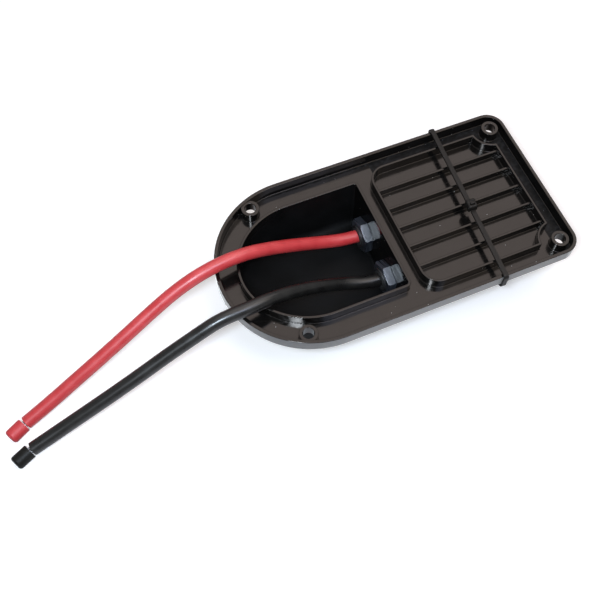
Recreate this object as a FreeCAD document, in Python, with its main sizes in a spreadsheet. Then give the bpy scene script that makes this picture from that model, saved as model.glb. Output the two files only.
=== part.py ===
import FreeCAD, Part
import math
import os
import Sketcher

# Cable entry plate for a roof, with two panel connectors in the end wall of its hood.
# Lengths are in millimetres and angles in degrees. The origin is the middle of the
# mounting plane, which the top of the back rim lies in. +Z points out of the back,
# +X from the hood's arched end to the ribbed end.

sizes = {
    # plate
    "plateLength": 166.6,
    "plateWidth": 88.0,
    "plateCorner": 8.9,
    "plateDepth": 7.8,
    "frontEdge": 1.8,
    "rimWall": 1.7,
    "recessDepth": 5.9,
    # pocket for the cables, its lip and the hood round it
    "pocketHalf": 29.9,
    "pocketArch": 32.8,
    "pocketApex": 27.0,
    "pocketStraight": 36.9,
    "pocketCorner": 1.2,
    "lipWall": 1.25,
    "lipTop": 0.7,
    "hoodWall": 2.2,
    "hoodHeight": 34.0,
    "hoodDraft": 2.0,
    "roofLevelLength": 35.0,
    "noseHeight": 11.5,
    "hoodEdge": 6.0,
    "hoodCorner": 2.6,
    # field of ribs
    "fieldGap": 6.55,
    "fieldEndMargin": 9.1,
    "fieldSideMargin": 9.0,
    "fieldCorner": 9.0,
    "fieldWall": 1.15,
    "fieldTop": 0.7,
    "bossClear": 5.4,
    "ribCount": 5,
    "ribPitch": 11.3,
    "ribThick": 1.2,
    "ribHeight": 3.65,
    # screw bosses
    "bossDiameter": 8.8,
    "bossTop": 0.6,
    "screwHole": 5.3,
    "countersink": 1.9,
    "bossSide": 8.5,
    "bossRight": 7.8,
    "bossRim": 5.22,
    # connectors, on axes parallel to X through the hood's end wall
    "connectorPitch": 26.6,
    "nutShare": 0.1655,
    "threadDiameter": 12.0,
    "threadClear": 0.1,
    "threadPast": 0.9,
    "nutAcross": 15.5,
    "nutThick": 4.35,
    "nutChamfer": 0.7,
    "chamferInset": 0.1,
    "redNutTurn": 28.0,
    "blackNutTurn": 25.0,
    "sealOuter": 16.6,
    "sealThick": 1.4,
    "flangeAcross": 17.4,
    "flangeThick": 4.0,
    "flangeTurn": 0.0,
    "neckDiameter": 15.6,
    "neckLength": 15.5,
    "gripDepth": 0.6,
    "gripWidth": 2.2,
    "gripMargin": 2.0,
    "gripCount": 12,
    "bushOuter": 9.4,
    "bushSeat": 4.0,
    "bushPast": 0.2,
    # pin type mating end
    "shroudOuter": 15.6,
    "shroudInner": 11.4,
    "shroudLength": 25.0,
    "shroudFloorThick": 3.0,
    "windowWidth": 6.4,
    "windowLength": 6.0,
    "windowOffset": 9.0,
    "pinDiameter": 4.0,
    "pinLength": 17.0,
    # socket type mating end
    "noseDiameter": 9.8,
    "noseLength": 25.0,
    "noseChamfer": 0.8,
    "noseBore": 6.4,
    "noseBoreDepth": 20.0,
    "packingOuter": 12.0,
    "packingThick": 2.4,
    "latchWidth": 6.0,
    "latchThick": 1.5,
    "latchLength": 15.0,
    "latchGap": 1.4,
    "latchBarb": 1.0,
    "barbLength": 4.0,
    "socketOuter": 6.0,
    "socketInner": 4.1,
    "socketLength": 17.0,
    # cables
    "cableDiameter": 6.4,
    "cableClear": 0.25,
    "cableInside": 3.3,
    "coreDiameter": 3.3,
    "coreClear": 0.1,
    "endGap": 1.0,
    "sleeveLength": 8.3,
    "sleeveDiameter": 6.9,
    "sleeveRound": 0.7,
    # cable tie
    "tieEndMargin": 2.2,
    "tieSkew": 3.8,
    "tieWidth": 2.4,
    "tieThick": 1.1,
    "tieClear": 0.2,
    "tieHeadWidth": 4.6,
    "tieHeadLength": 4.8,
    "tieHeadHeight": 3.3,
    "tieHeadOffset": 4.0,
    "tieTail": 1.6,
    "tieEdge": 0.6,
    # how far a cutting outline reaches past the material
    "cutPast": 5.0,
}

# Centre lines of the two cables as they lie, from inside the gland to the cut end.
redRoute = [
    (-12.0, 13.5, -21.8), (-25.5, 14.9, -18.6), (-37.7, 14.5, -12.3),
    (-50.8, 13.4, -5.2), (-63.9, 11.5, 1.9), (-76.2, 10.1, 4.4),
    (-89.3, 8.2, 4.1), (-102.3, 6.3, -0.1), (-115.2, 3.1, -5.2),
    (-129.3, -1.0, -10.6), (-143.3, -4.7, -16.2), (-157.4, -8.2, -21.8),
    (-170.6, -11.6, -27.0), (-182.8, -15.1, -30.2),
]
blackRoute = [
    (-12.0, -13.2, -21.8), (-25.5, -10.0, -18.6), (-37.7, -10.1, -12.3),
    (-50.8, -11.6, -5.2), (-63.9, -14.4, 2.1), (-76.2, -16.5, 4.4),
    (-89.3, -16.7, 4.1), (-102.3, -18.4, -0.1), (-115.2, -19.7, -5.2),
    (-129.3, -21.7, -10.6), (-143.3, -23.3, -16.2), (-157.4, -24.7, -21.8),
    (-170.6, -26.0, -27.0), (-183.4, -28.1, -30.2),
]
# Directions of the loose ends of insulation beyond the cuts.
redSleeveWay = (-0.887, -0.462, 0.0)
blackSleeveWay = (-0.906, -0.422, 0.0)

doc = FreeCAD.newDocument("CableEntryPlate")
sheet = doc.addObject("Spreadsheet::Sheet", "Sizes")
for row, (name, value) in enumerate(sizes.items(), start=1):
    sheet.set("A%d" % row, name)
    sheet.set("B%d" % row, str(value))
    sheet.setAlias("B%d" % row, name)
doc.recompute()

Vector = FreeCAD.Vector
Rotation = FreeCAD.Rotation
Placement = FreeCAD.Placement


def size(name):
    return float(sheet.get(name))


# Places that follow from the sizes.
leftEnd = -size("plateLength") / 2
rightEnd = size("plateLength") / 2
halfWidth = size("plateWidth") / 2
archCentre = leftEnd + halfWidth
endWallInner = archCentre + size("pocketStraight")
endWallOuter = endWallInner + size("hoodWall")
lipEnd = endWallInner + size("lipWall")
floorTop = -size("recessDepth")
plateFront = -size("plateDepth")
roofOuter = -size("hoodHeight")
roofInner = roofOuter + size("hoodWall")
axisHalf = size("connectorPitch") / 2
bossY = halfWidth - size("bossSide")
bossXs = (archCentre - math.sqrt((halfWidth - size("bossRim")) ** 2 - bossY ** 2),
          rightEnd - size("bossRight"))
# The connectors leave a share of the spare height under the nuts and the rest over
# the flanges.
nutReach = size("nutAcross") / math.sqrt(3)
flangeReach = size("flangeAcross") / 2
spareHeight = plateFront - flangeReach - roofInner - nutReach
axisZ = roofInner + nutReach + size("nutShare") * spareHeight
flangeStart = endWallOuter + size("sealThick")
flangeEnd = flangeStart + size("flangeThick")
neckEnd = flangeEnd + size("neckLength")
nutFace = endWallInner - size("nutThick")
threadEnd = nutFace - size("threadPast")
bushStart = threadEnd - size("bushPast")
cableStart = threadEnd + size("bushSeat") + size("cableInside")


def makeBody(name):
    body = doc.addObject("PartDesign::Body", name)
    body.Label = name
    return body


def plane(body, role):
    for item in body.Origin.OriginFeatures:
        if item.Role == role:
            return item
    raise ValueError(role)


def makeSketch(body, name, role, offset=0.0):
    sketch = body.newObject("Sketcher::SketchObject", name)
    sketch.AttachmentSupport = [(plane(body, role), "")]
    sketch.MapMode = "FlatFace"
    sketch.AttachmentOffset = Placement(Vector(0, 0, offset), Rotation())
    return sketch


def addLoop(sketch, pieces):
    # Lines and arcs that follow one another; a piece of two points is a line and one of
    # three points an arc through its middle point.
    first = sketch.GeometryCount
    for piece in pieces:
        points = [Vector(p[0], p[1], 0) for p in piece]
        if len(points) == 2:
            sketch.addGeometry(Part.LineSegment(points[0], points[1]), False)
        else:
            sketch.addGeometry(Part.Arc(points[0], points[1], points[2]), False)
    return first


def addRectangle(sketch, low, high):
    x0, y0 = low
    x1, y1 = high
    addLoop(sketch, [((x0, y0), (x1, y0)), ((x1, y0), (x1, y1)),
                     ((x1, y1), (x0, y1)), ((x0, y1), (x0, y0))])


def addCircle(sketch, centre, sizeName, extra=""):
    diameter = size(sizeName)
    index = sketch.addGeometry(
        Part.Circle(Vector(centre[0], centre[1], 0), Vector(0, 0, 1), diameter / 2), False)
    sketch.addConstraint(Sketcher.Constraint("DistanceX", -1, 1, index, 3, centre[0])
                         if abs(centre[0]) > 1e-6 else
                         Sketcher.Constraint("PointOnObject", index, 3, -2))
    sketch.addConstraint(Sketcher.Constraint("DistanceY", -1, 1, index, 3, centre[1])
                         if abs(centre[1]) > 1e-6 else
                         Sketcher.Constraint("PointOnObject", index, 3, -1))
    number = sketch.addConstraint(Sketcher.Constraint("Diameter", index, diameter))
    sketch.setExpression("Constraints[%d]" % number, "Sizes.%s%s" % (sizeName, extra))
    return index


def makePad(body, name, sketch, expression, down=False, taper=None):
    pad = body.newObject("PartDesign::Pad", name)
    pad.Profile = sketch
    pad.Reversed = down
    pad.setExpression("Length", expression)
    if taper:
        pad.setExpression("TaperAngle", taper)
    doc.recompute()
    return pad


def makePocket(body, name, sketch, expression, reverse=False, through=False):
    before = body.Shape.Volume
    pocket = body.newObject("PartDesign::Pocket", name)
    pocket.Profile = sketch
    pocket.Reversed = reverse
    if through:
        pocket.Type = 1
    else:
        pocket.setExpression("Length", expression)
    doc.recompute()
    if body.Shape.Volume > before - 1e-3:
        raise ValueError("%s cuts nothing" % name)
    return pocket


def edgeNames(shape, test):
    return ["Edge%d" % (i + 1) for i, edge in enumerate(shape.Edges) if test(edge)]


def makeFillet(body, name, expression, test):
    base = body.Tip
    names = edgeNames(base.Shape, test)
    if not names:
        raise ValueError("%s finds no edge" % name)
    fillet = body.newObject("PartDesign::Fillet", name)
    fillet.Base = (base, names)
    fillet.setExpression("Radius", expression)
    doc.recompute()
    return fillet


def archLoop(grow, endX):
    # Outline of the pocket, or of a wall round it when grow is more than 0: straight
    # sides, an arch of three tangent arcs on the left and two corners on the right.
    half = size("pocketHalf") + grow
    depth = size("pocketArch") + grow
    apexR = size("pocketApex") + grow
    corner = size("pocketCorner") + grow
    span = depth - apexR
    shoulderR = (span ** 2 + half ** 2 - apexR ** 2) / (2 * (half - apexR))
    apexX = archCentre - span
    shoulderY = half - shoulderR
    way = math.atan2(-shoulderY, -span)
    meet = (archCentre + shoulderR * math.cos(way), shoulderY + shoulderR * math.sin(way))
    middle = (way + math.pi / 2) / 2
    shoulder = (archCentre + shoulderR * math.cos(middle),
                shoulderY + shoulderR * math.sin(middle))
    bend = corner * (1 - math.sqrt(0.5))
    return [
        ((endX - corner, half), (archCentre, half)),
        ((archCentre, half), shoulder, meet),
        (meet, (apexX - apexR, 0), (meet[0], -meet[1])),
        ((meet[0], -meet[1]), (shoulder[0], -shoulder[1]), (archCentre, -half)),
        ((archCentre, -half), (endX - corner, -half)),
        ((endX - corner, -half), (endX - bend, -half + bend), (endX, -half + corner)),
        ((endX, -half + corner), (endX, half - corner)),
        ((endX, half - corner), (endX - bend, half - bend), (endX - corner, half)),
    ]


def plateLoop(inset):
    # Outline of the plate: a half circle on the left and two rounded corners.
    half = halfWidth - inset
    corner = size("plateCorner") - inset
    endX = rightEnd - inset
    bend = corner * (1 - math.sqrt(0.5))
    return [
        ((endX - corner, half), (archCentre, half)),
        ((archCentre, half), (archCentre - half, 0), (archCentre, -half)),
        ((archCentre, -half), (endX - corner, -half)),
        ((endX - corner, -half), (endX - bend, -half + bend), (endX, -half + corner)),
        ((endX, -half + corner), (endX, half - corner)),
        ((endX, half - corner), (endX - bend, half - bend), (endX - corner, half)),
    ]


fieldLeft = lipEnd + size("fieldGap")
fieldRight = rightEnd - size("fieldEndMargin")
fieldHalf = halfWidth - size("fieldSideMargin")


def fieldLoop(inset):
    # Outline of the wall round the ribs, which bends in round the two right bosses.
    x0 = fieldLeft + inset
    x1 = fieldRight - inset
    half = fieldHalf - inset
    corner = size("fieldCorner") - inset
    bend = corner * (1 - math.sqrt(0.5))
    reach = size("bossDiameter") / 2 + size("bossClear") + inset
    bossX = bossXs[1]
    topX = bossX - math.sqrt(reach ** 2 - (bossY - half) ** 2)
    sideY = bossY - math.sqrt(reach ** 2 - (bossX - x1) ** 2)
    bowX = bossX - reach * math.sqrt(0.5)
    bowY = bossY - reach * math.sqrt(0.5)
    return [
        ((topX, half), (x0 + corner, half)),
        ((x0 + corner, half), (x0 + bend, half - bend), (x0, half - corner)),
        ((x0, half - corner), (x0, -half + corner)),
        ((x0, -half + corner), (x0 + bend, -half + bend), (x0 + corner, -half)),
        ((x0 + corner, -half), (topX, -half)),
        ((topX, -half), (bowX, -bowY), (x1, -sideY)),
        ((x1, -sideY), (x1, sideY)),
        ((x1, sideY), (bowX, bowY), (topX, half)),
    ]


def roofCut(body, name, start, level, nose, drop):
    # Cuts the hood's roof back in one curve that rises from the arched end to the level
    # part of the roof. The region cut lies between the curve and the space in front.
    run = level - start
    rise = nose - drop
    radius = (run ** 2 + rise ** 2) / (2 * rise)
    centreZ = drop + radius
    turn = math.asin(run / radius)
    half = turn / 2
    middle = (level - radius * math.sin(half), centreZ - radius * math.cos(half))
    out = start - size("hoodWall") - size("cutPast")
    low = drop - size("cutPast")
    sketch = makeSketch(body, name + "Sketch", "XZ_Plane")
    addLoop(sketch, [
        ((start, nose), middle, (level, drop)),
        ((level, drop), (level, low)),
        ((level, low), (out, low)),
        ((out, low), (out, nose)),
        ((out, nose), (start, nose)),
    ])
    before = body.Shape.Volume
    pocket = body.newObject("PartDesign::Pocket", name)
    pocket.Profile = sketch
    pocket.SideType = "Symmetric"
    pocket.setExpression("Length", "Sizes.plateWidth")
    doc.recompute()
    if body.Shape.Volume > before - 1e-3:
        raise ValueError("%s cuts nothing" % name)


def makeHood(body, prefix, grow, top, length, endX, trimTop):
    # The hood's outer form, or its hollow when grow is 0: walls with draft on the sides
    # and the arch, and an end wall square to the connectors' axes.
    past = size("pocketHalf")
    sketch = makeSketch(body, prefix + "Outline", "XY_Plane", top)
    addLoop(sketch, archLoop(grow, endX + past))
    makePad(body, prefix + "Walls", sketch, length, down=True, taper="-Sizes.hoodDraft")
    trim = makeSketch(body, prefix + "Trim", "XY_Plane", trimTop)
    addRectangle(trim, (endX, -halfWidth), (endX + past + size("cutPast"), halfWidth))
    makePocket(body, prefix + "EndFace", trim, "Sizes.hoodHeight + Sizes.cutPast")


def uprightCorner(endX, top):
    # Picks the two upright edges where the end wall meets the sides.
    return lambda edge: (edge.BoundBox.XLength < 0.05
                         and abs(edge.CenterOfMass.x - endX) < 0.05
                         and abs(edge.CenterOfMass.y) > size("pocketHalf") / 2
                         and edge.BoundBox.ZMax < top + 0.05
                         and edge.BoundBox.ZLength > size("hoodHeight") / 3)


def sideEdge(edge, low, high, start, end, tolerance=0.05):
    box = edge.BoundBox
    return (box.ZMin > low - tolerance and box.ZMax < high + tolerance
            and box.XMin > start - tolerance and box.XMax < end + tolerance)


# The hollow of the hood, as a tool that is cut from the plate.
noseX = archCentre - size("pocketArch")
levelX = endWallOuter - size("roofLevelLength")
hollow = makeBody("hood_hollow")
makeHood(hollow, "Hollow", 0.0, 0.0, "Sizes.hoodHeight - Sizes.hoodWall", endWallInner, 0.0)
roofCut(hollow, "HollowNose", noseX, levelX, -size("noseHeight"), roofInner)
makeFillet(
    hollow, "HollowEdge", "Sizes.hoodEdge - Sizes.hoodWall",
    lambda edge: edge.BoundBox.ZMax < -size("noseHeight") + 1.5
    and abs(edge.CenterOfMass.x - endWallInner) > 2.5
    and abs(edge.CenterOfMass.y) > 3.0
    and edge.BoundBox.XLength > 2.0)
makeFillet(hollow, "HollowCorners", "Sizes.pocketCorner", uprightCorner(endWallInner, 0.0))

# The plate: tray, hood, walls, ribs and bosses.
plateBody = makeBody("plate_form")
outline = makeSketch(plateBody, "PlateOutline", "XY_Plane")
addLoop(outline, plateLoop(0.0))
makePad(plateBody, "PlateBlock", outline, "Sizes.plateDepth", down=True)
makeFillet(plateBody, "FrontEdge", "Sizes.frontEdge",
           lambda edge: sideEdge(edge, plateFront, plateFront, leftEnd, rightEnd))

makeHood(plateBody, "Hood", size("hoodWall"), floorTop,
         "Sizes.hoodHeight - Sizes.recessDepth", endWallOuter, plateFront)
roofCut(plateBody, "HoodNose", noseX - size("hoodWall"), levelX,
        -size("noseHeight") - size("hoodWall") / 2, roofOuter)
makeFillet(
    plateBody, "HoodEdge", "Sizes.hoodEdge",
    lambda edge: edge.BoundBox.ZMax < -size("noseHeight") - size("hoodWall") / 2 + 1.5
    and abs(edge.CenterOfMass.x - endWallOuter) > 3.5
    and abs(edge.CenterOfMass.y) > 3.0
    and edge.BoundBox.XLength > 2.0)
makeFillet(plateBody, "HoodCorners", "Sizes.hoodCorner",
           uprightCorner(endWallOuter, plateFront))

recess = makeSketch(plateBody, "RecessOutline", "XY_Plane")
addLoop(recess, plateLoop(size("rimWall")))
makePocket(plateBody, "Recess", recess, "Sizes.recessDepth")

lip = makeSketch(plateBody, "LipOutline", "XY_Plane", floorTop)
addLoop(lip, archLoop(size("lipWall"), lipEnd))
makePad(plateBody, "Lip", lip, "Sizes.recessDepth - Sizes.lipTop")

field = makeSketch(plateBody, "FieldOutline", "XY_Plane", floorTop)
addLoop(field, fieldLoop(0.0))
addLoop(field, fieldLoop(size("fieldWall")))
makePad(plateBody, "FieldWall", field, "Sizes.recessDepth - Sizes.fieldTop")

ribSpan = (size("ribCount") - 1) * size("ribPitch")
rib = makeSketch(plateBody, "RibOutline", "XY_Plane", floorTop)
addRectangle(rib, (fieldLeft + size("fieldWall") / 2, -ribSpan / 2 - size("ribThick") / 2),
             (fieldRight - size("fieldWall") / 2, -ribSpan / 2 + size("ribThick") / 2))
ribPad = makePad(plateBody, "Rib", rib, "Sizes.ribHeight")
ribs = plateBody.newObject("PartDesign::LinearPattern", "Ribs")
ribs.Originals = [ribPad]
ribs.Direction = (plane(plateBody, "Y_Axis"), [""])
ribs.setExpression("Length", "(Sizes.ribCount - 1) * Sizes.ribPitch")
ribs.setExpression("Occurrences", "Sizes.ribCount")
plateBody.Tip = ribs
doc.recompute()

bosses = makeSketch(plateBody, "BossOutline", "XY_Plane", floorTop)
for x in bossXs:
    for side in (-1, 1):
        addCircle(bosses, (x, side * bossY), "bossDiameter")
makePad(plateBody, "Bosses", bosses, "Sizes.recessDepth - Sizes.bossTop")

screwHoles = makeSketch(plateBody, "ScrewHoles", "XY_Plane")
for x in bossXs:
    for side in (-1, 1):
        addCircle(screwHoles, (x, side * bossY), "screwHole")
makePocket(plateBody, "ScrewBores", screwHoles, "", through=True)
screwBores = plateBody.Tip
mouths = edgeNames(
    screwBores.Shape,
    lambda edge: sideEdge(edge, plateFront, plateFront, leftEnd, rightEnd)
    and edge.Curve.TypeId == "Part::GeomCircle"
    and abs(edge.Curve.Radius - size("screwHole") / 2) < 1e-4)
countersinks = plateBody.newObject("PartDesign::Chamfer", "Countersinks")
countersinks.Base = (screwBores, mouths)
countersinks.setExpression("Size", "Sizes.countersink")
doc.recompute()

wallHoles = makeSketch(plateBody, "WallHoles", "YZ_Plane", endWallOuter + size("cutPast"))
for side in (-1, 1):
    addCircle(wallHoles, (side * axisHalf, axisZ), "threadDiameter",
              " + 2 * Sizes.threadClear")
makePocket(plateBody, "ConnectorHoles", wallHoles, "Sizes.hoodWall + 2 * Sizes.cutPast")

entryPlate = doc.addObject("Part::Cut", "entry_plate")
entryPlate.Label = "entry_plate"
entryPlate.Base = plateBody
entryPlate.Tool = hollow
doc.recompute()

pieces = [entryPlate]


def atAxis(body, side):
    body.Placement = Placement(Vector(0, side * axisHalf, axisZ), Rotation())
    pieces.append(body)


def revolve(body, name, points, groove=False):
    # Turns a closed profile of (x, radius) points round the X axis.
    sketch = makeSketch(body, name + "Profile", "XZ_Plane")
    loop = []
    for i, point in enumerate(points):
        loop.append((point, points[(i + 1) % len(points)]))
    addLoop(sketch, loop)
    kind = "PartDesign::Groove" if groove else "PartDesign::Revolution"
    feature = body.newObject(kind, name)
    feature.Profile = sketch
    feature.ReferenceAxis = (plane(body, "X_Axis"), [""])
    feature.Angle = 360
    doc.recompute()
    return feature


def addHexagon(sketch, across, turn):
    radius = across / math.sqrt(3)
    corners = []
    for i in range(6):
        angle = math.radians(60 * i + turn)
        corners.append((radius * math.cos(angle), radius * math.sin(angle)))
    addLoop(sketch, [(corners[i], corners[(i + 1) % 6]) for i in range(6)])


def makeNut(name, side, turnName):
    # Hexagonal lock nut whose corners are turned off on the face away from the wall.
    body = makeBody(name)
    sketch = makeSketch(body, name + "Hexagon", "YZ_Plane", nutFace)
    addHexagon(sketch, size("nutAcross"), size(turnName))
    addCircle(sketch, (0, 0), "threadDiameter", " + 2 * Sizes.threadClear")
    makePad(body, name + "Block", sketch, "Sizes.nutThick")
    inset = size("chamferInset")
    corner = nutReach + inset
    edge = size("nutAcross") / 2 - inset
    fall = size("nutChamfer")
    revolve(body, name + "FaceTurn",
            [(nutFace - inset, edge), (nutFace - inset, corner), (nutFace + fall, corner)],
            groove=True)
    atAxis(body, side)


def makeRing(name, side, start, thick, outerName, innerName, extra):
    body = makeBody(name)
    sketch = makeSketch(body, name + "Section", "YZ_Plane", start)
    addCircle(sketch, (0, 0), outerName)
    addCircle(sketch, (0, 0), innerName, extra)
    makePad(body, name + "Ring", sketch, thick)
    atAxis(body, side)
    return body


def makeHousing(name, side, profile):
    # Shared rear end of both connector bodies: threaded tube with a stepped bore for the
    # bush and the cable, hexagonal flange and ribbed neck. The mating end follows it.
    body = makeBody(name)
    thread = size("threadDiameter") / 2
    seat = size("bushOuter") / 2 + size("cableClear")
    entry = size("cableDiameter") / 2 + size("cableClear")
    bushEnd = threadEnd + size("bushSeat")
    revolve(body, name + "Turned", [
        (threadEnd, seat), (threadEnd, thread), (flangeStart, thread),
        (flangeStart, size("neckDiameter") / 2), (neckEnd, size("neckDiameter") / 2),
    ] + profile + [
        (cableStart, 0), (cableStart, entry), (bushEnd, entry), (bushEnd, seat),
    ])
    flange = makeSketch(body, name + "Hexagon", "YZ_Plane", flangeStart)
    addHexagon(flange, size("flangeAcross"), size("flangeTurn"))
    addCircle(flange, (0, 0), "neckDiameter", " - 2 * Sizes.gripDepth")
    makePad(body, name + "Flange", flange, "Sizes.flangeThick")
    inset = size("chamferInset")
    corner = size("flangeAcross") / math.sqrt(3) + inset
    edge = flangeReach - inset
    fall = size("nutChamfer")
    revolve(body, name + "FlangeTurn",
            [(flangeEnd + inset, edge), (flangeEnd - fall, corner),
             (flangeEnd + inset, corner)],
            groove=True)
    groove = makeSketch(body, name + "Grip", "YZ_Plane", neckEnd - size("gripMargin"))
    radius = size("neckDiameter") / 2
    wide = size("gripWidth") / 2
    addRectangle(groove, (-wide, radius - size("gripDepth")), (wide, radius + size("gripDepth")))
    cut = makePocket(body, name + "GripCut", groove,
                     "Sizes.neckLength - 2 * Sizes.gripMargin")
    around = body.newObject("PartDesign::PolarPattern", name + "Grips")
    around.Originals = [cut]
    around.Axis = (plane(body, "X_Axis"), [""])
    around.Angle = 360
    around.setExpression("Occurrences", "Sizes.gripCount")
    body.Tip = around
    doc.recompute()
    return body


# Red side: pin type connector, an open shroud with a latch window above and below.
shroudEnd = neckEnd + size("shroudLength")
shroudFloor = neckEnd + size("shroudFloorThick")
pinSide = 1
redHousing = makeHousing("red_connector", pinSide, [
    (neckEnd, size("shroudOuter") / 2), (shroudEnd, size("shroudOuter") / 2),
    (shroudEnd, size("shroudInner") / 2), (shroudFloor, size("shroudInner") / 2),
    (shroudFloor, 0),
] if abs(size("shroudOuter") - size("neckDiameter")) > 1e-6 else [
    (shroudEnd, size("shroudOuter") / 2),
    (shroudEnd, size("shroudInner") / 2), (shroudFloor, size("shroudInner") / 2),
    (shroudFloor, 0),
])
window = makeSketch(redHousing, "WindowOutline", "XY_Plane")
windowStart = neckEnd + size("windowOffset")
addRectangle(window, (windowStart, -size("windowWidth") / 2),
             (windowStart + size("windowLength"), size("windowWidth") / 2))
windows = redHousing.newObject("PartDesign::Pocket", "Windows")
windows.Profile = window
windows.SideType = "Symmetric"
windows.setExpression("Length", "2 * Sizes.shroudOuter")
doc.recompute()
atAxis(redHousing, pinSide)

pin = makeBody("red_contact")
pinR = size("pinDiameter") / 2
pinEnd = shroudFloor + size("pinLength")
revolve(pin, "PinTurned", [
    (shroudFloor, 0), (shroudFloor, pinR), (pinEnd - pinR, pinR),
    (pinEnd - pinR / 2, pinR * 0.8), (pinEnd, pinR * 0.35), (pinEnd, 0)])
atAxis(pin, pinSide)

# Black side: socket type connector, a slim nose with a packing ring and two latches.
noseEnd = neckEnd + size("noseLength")
noseR = size("noseDiameter") / 2
noseFall = size("noseChamfer")
boreR = size("noseBore") / 2
boreEnd = noseEnd - size("noseBoreDepth")
socketSide = -1
blackHousing = makeHousing("black_connector", socketSide, [
    (neckEnd, noseR), (noseEnd - noseFall, noseR), (noseEnd, noseR - noseFall),
    (noseEnd, boreR), (boreEnd, boreR), (boreEnd, 0)])
latchIn = noseR + size("latchGap")
latchOut = latchIn + size("latchThick")
latchEnd = neckEnd + size("latchLength")
latchStart = neckEnd - size("gripMargin") / 2
latch = makeSketch(blackHousing, "LatchProfile", "XZ_Plane")
addLoop(latch, [
    ((latchStart, latchIn), (latchEnd, latchIn)),
    ((latchEnd, latchIn), (latchEnd, latchOut)),
    ((latchEnd, latchOut), (latchEnd - size("barbLength"), latchOut + size("latchBarb"))),
    ((latchEnd - size("barbLength"), latchOut + size("latchBarb")),
     (latchEnd - size("barbLength"), latchOut)),
    ((latchEnd - size("barbLength"), latchOut), (latchStart, latchOut)),
    ((latchStart, latchOut), (latchStart, latchIn)),
])
latchPad = blackHousing.newObject("PartDesign::Pad", "Latch")
latchPad.Profile = latch
latchPad.SideType = "Symmetric"
latchPad.setExpression("Length", "Sizes.latchWidth")
doc.recompute()
latches = blackHousing.newObject("PartDesign::Mirrored", "Latches")
latches.Originals = [latchPad]
latches.MirrorPlane = (plane(blackHousing, "XY_Plane"), [""])
blackHousing.Tip = latches
doc.recompute()
atAxis(blackHousing, socketSide)

makeRing("black_packing", socketSide, neckEnd, "Sizes.packingThick", "packingOuter",
         "noseDiameter", " + 2 * Sizes.cableClear")
makeRing("black_contact", socketSide, boreEnd, "Sizes.socketLength", "socketOuter",
         "socketInner", "")

for colour, side in (("red", 1), ("black", -1)):
    makeNut(colour + "_nut", side, colour + "NutTurn")
    makeRing(colour + "_seal_ring", side, endWallOuter, "Sizes.sealThick", "sealOuter",
             "threadDiameter", " + 2 * Sizes.threadClear")
    makeRing(colour + "_bush", side, bushStart, "Sizes.bushSeat + Sizes.bushPast",
             "bushOuter", "cableDiameter", " + 2 * Sizes.cableClear")


def tubePath(points):
    # Straight runs joined by tangent arcs, each as large as its two runs allow.
    points = [Vector(*p) for p in points]
    edges = []
    radii = []
    length = 0.0
    here = points[0]
    for i in range(1, len(points) - 1):
        before = points[i] - points[i - 1]
        after = points[i + 1] - points[i]
        reach = 0.45 * min(before.Length, after.Length)
        turn = before.getAngle(after)
        radius = reach / math.tan(turn / 2)
        radii.append(radius)
        before.normalize()
        after.normalize()
        start = points[i] - before * reach
        end = points[i] + after * reach
        inward = (after - before).normalize()
        gap = radius / math.cos(turn / 2) - radius
        middle = points[i] + inward * gap
        edges.append(Part.LineSegment(here, start).toShape())
        edges.append(Part.Arc(start, middle, end).toShape())
        length += (start - here).Length + radius * turn
        here = end
    edges.append(Part.LineSegment(here, points[-1]).toShape())
    length += (points[-1] - here).Length
    return Part.Wire(edges), radii, length


def makeCable(name, side, route):
    # The cable leaves the gland along its axis, whatever the height of the axis.
    start = (cableStart, side * axisHalf, axisZ)
    gland = (route[0][0], route[0][1], axisZ)
    path, radii, length = tubePath([start, gland] + route[1:])
    radius = size("cableDiameter") / 2
    ring = Part.Wire([Part.Circle(Vector(*start), Vector(-1, 0, 0), radius).toShape()])
    tube = path.makePipeShell([ring], True, False)
    wanted = math.pi * radius ** 2 * length
    print("%s length %.1f, volume %.1f of %.1f, radii %s"
          % (name, length, tube.Volume, wanted, " ".join("%.0f" % r for r in radii)))
    if abs(tube.Volume / wanted - 1) > 0.01:
        raise ValueError("%s has the wrong volume" % name)
    feature = doc.addObject("Part::Feature", name)
    feature.Label = name
    feature.Shape = tube
    pieces.append(feature)


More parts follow.
